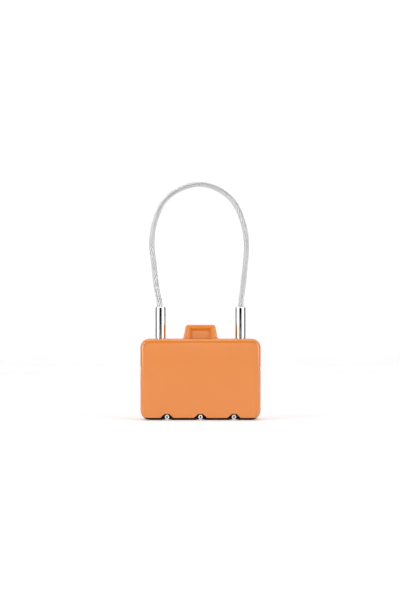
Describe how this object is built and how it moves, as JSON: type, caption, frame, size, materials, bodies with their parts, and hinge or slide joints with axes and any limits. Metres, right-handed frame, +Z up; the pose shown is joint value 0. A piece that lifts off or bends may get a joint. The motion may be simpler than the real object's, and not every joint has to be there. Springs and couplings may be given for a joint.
{
  "type": "luggage combination padlock",
  "caption": "Small suitcase-shaped combination padlock with thumb wheels in its base and a flexible steel cable shackle between chrome ferrules.",
  "frame": {"origin": "bottom centre of the padlock, at the lowest point of the number wheels, on the case's centre line", "axes": "+X to the free end of the cable shackle as seen from the front, +Z up through the shackle, wide front face towards -Y"},
  "size_m": [0.038, 0.013, 0.0756],
  "materials": {
    "case_orange": "gloss",
    "base_black": "matte",
    "frame_black": "matte",
    "dial_black": "satin",
    "hub_zinc": "satin",
    "spindle_steel": "satin",
    "spring_steel": "satin",
    "spacer_brass": "satin",
    "latch_steel": "satin",
    "ferrule_chrome": "polished",
    "screw_steel": "satin",
    "dowel_steel": "satin",
    "rope_steel": "satin",
    "jacket_clear": "gloss"
  },
  "bodies": {
    "casing": {"shell_front": "case_orange", "shell_rear": "case_orange", "core_base": "base_black", "core_frame_front": "frame_black", "core_frame_rear": "frame_black", "core_screw_left": "screw_steel", "core_screw_right": "screw_steel", "click_screw_left": "screw_steel", "click_screw_right": "screw_steel", "dowel_upper_left": "dowel_steel", "dowel_upper_right": "dowel_steel", "dowel_lower_left": "dowel_steel", "dowel_lower_right": "dowel_steel", "fixed_end_clip": "latch_steel", "click_spring": "spring_steel", "reset_spring": "spring_steel", "latch_spring": "spring_steel", "cable_strands": "rope_steel", "cable_jacket": "jacket_clear"},
    "free_end": {"free_ferrule": "ferrule_chrome"},
    "fixed_end": {"fixed_ferrule": "ferrule_chrome"},
    "latch": {"latch_plate": "latch_steel"},
    "reset": {"reset_spindle": "spindle_steel", "spindle_clip_left": "spring_steel", "spindle_clip_right": "spring_steel", "spacer_left": "spacer_brass", "spacer_middle": "spacer_brass"},
    "dial_left": {"dial_ring_left": "dial_black"},
    "dial_middle": {"dial_ring_middle": "dial_black"},
    "dial_right": {"dial_ring_right": "dial_black"},
    "hub_left": {"dial_hub_left": "hub_zinc"},
    "hub_middle": {"dial_hub_middle": "hub_zinc"},
    "hub_right": {"dial_hub_right": "hub_zinc"}
  },
  "joints": [
    {"name": "free_end_pull", "type": "slide", "parent": "casing", "child": "free_end", "axis": [0, 0, 1], "range_m": [0, 0.013], "deforming": ["cable_strands", "cable_jacket"]},
    {"name": "latch_slide", "type": "slide", "parent": "casing", "child": "latch", "axis": [-1, 0, 0], "range_m": [0, 0.00225], "deforming": ["latch_spring"]},
    {"name": "fixed_end_swivel", "type": "hinge", "parent": "casing", "child": "fixed_end", "pos_m": [-0.0127, 0, 0.0258], "axis": [0, 0, 1], "range_deg": [-60, 60]},
    {"name": "reset_push", "type": "slide", "parent": "casing", "child": "reset", "axis": [1, 0, 0], "range_m": [0, 0.001], "stiffness_N_per_m": 400, "springref_m": -0.001, "deforming": ["reset_spring"]},
    {"name": "dial_left_turn", "type": "hinge", "parent": "casing", "child": "dial_left", "pos_m": [-0.0106, 0, 0.0046], "axis": [1, 0, 0], "continuous": true},
    {"name": "dial_middle_turn", "type": "hinge", "parent": "casing", "child": "dial_middle", "pos_m": [0, 0, 0.0046], "axis": [1, 0, 0], "continuous": true},
    {"name": "dial_right_turn", "type": "hinge", "parent": "casing", "child": "dial_right", "pos_m": [0.0106, 0, 0.0046], "axis": [1, 0, 0], "continuous": true},
    {"name": "hub_left_shift", "type": "slide", "parent": "dial_left", "child": "hub_left", "axis": [1, 0, 0], "range_m": [0, 0.001]},
    {"name": "hub_middle_shift", "type": "slide", "parent": "dial_middle", "child": "hub_middle", "axis": [1, 0, 0], "range_m": [0, 0.001]},
    {"name": "hub_right_shift", "type": "slide", "parent": "dial_right", "child": "hub_right", "axis": [1, 0, 0], "range_m": [0, 0.001]}
  ],
  "couplings": [
    {"joint": "latch_slide", "follows": "free_end_pull", "ratio": 0.1692},
    {"joint": "hub_left_shift", "follows": "reset_push", "ratio": 1},
    {"joint": "hub_middle_shift", "follows": "reset_push", "ratio": 1},
    {"joint": "hub_right_shift", "follows": "reset_push", "ratio": 1}
  ]
}
